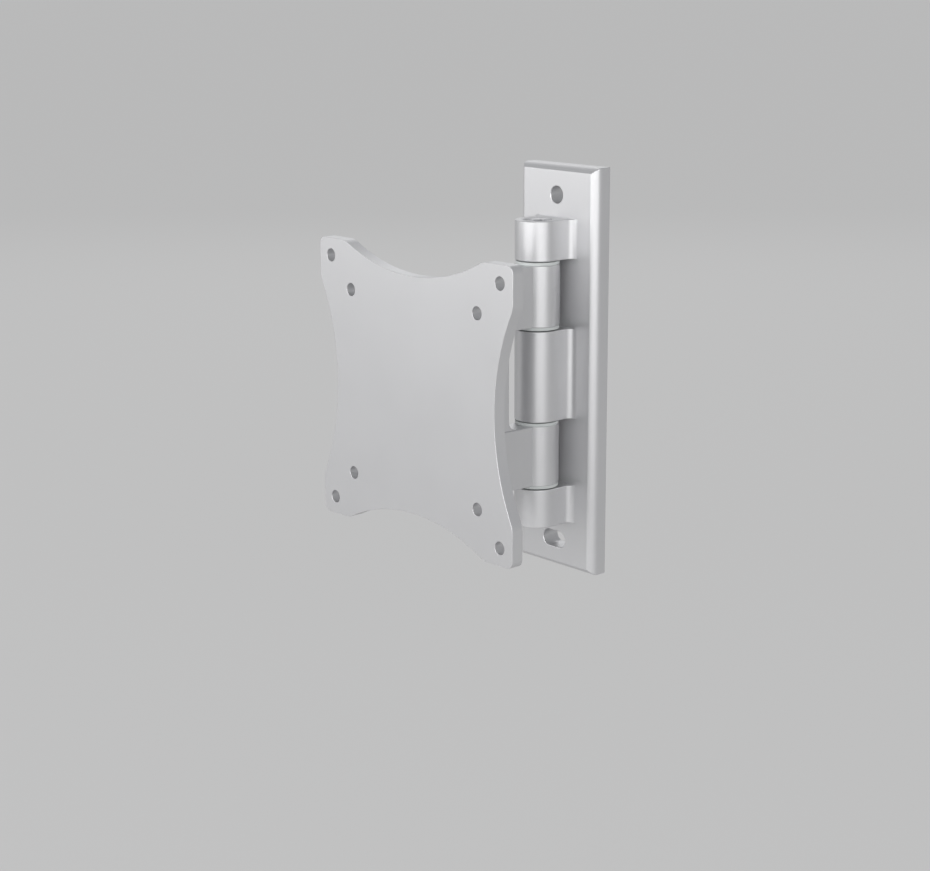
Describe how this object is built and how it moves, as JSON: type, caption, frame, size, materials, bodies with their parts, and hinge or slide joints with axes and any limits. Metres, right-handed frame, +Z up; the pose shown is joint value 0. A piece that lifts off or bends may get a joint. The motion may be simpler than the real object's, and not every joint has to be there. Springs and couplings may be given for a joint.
{
  "type": "monitor wall arm",
  "caption": "Short cast wall arm for a monitor: wall plate with hinge knuckles, a swivelling arm with a tilt barrel, and a screen plate with concave sides.",
  "frame": {"origin": "centre of the wall plate's back face, on the wall", "axes": "+Z up along the hinge, +Y into the wall, so the arm reaches towards -Y and the screen plate faces -Y; +X to the right when the wall is faced"},
  "size_m": [0.114, 0.0852, 0.1686],
  "materials": {
    "casting": "die-cast aluminium with a satin silver coat",
    "steel": "bright zinc-plated steel",
    "bush": "off-white acetal, satin"
  },
  "bodies": {
    "wall": {"wall_bracket": "casting", "hinge_bolt": "steel", "hinge_nut": "steel", "hinge_washer": "steel", "hinge_disc_spring": "steel"},
    "arm": {"swivel_arm": "casting", "bush_upper_top": "bush", "bush_upper_bottom": "bush", "bush_lower_top": "bush", "bush_lower_bottom": "bush", "tilt_bush_left": "bush", "tilt_bush_right": "bush"},
    "screen": {"vesa_plate": "casting", "tilt_bolt": "steel", "tilt_nut": "steel", "tilt_washer_head": "steel", "tilt_washer_nut": "steel", "tilt_disc_spring": "steel"}
  },
  "joints": [
    {"name": "swivel", "type": "hinge", "parent": "wall", "child": "arm", "pos_m": [0, -0.0189, 0], "axis": [0, 0, 1], "range_deg": [-50, 50]},
    {"name": "tilt", "type": "hinge", "parent": "arm", "child": "screen", "pos_m": [0, -0.0664, 0], "axis": [1, 0, 0], "range_deg": [-15, 15]}
  ]
}
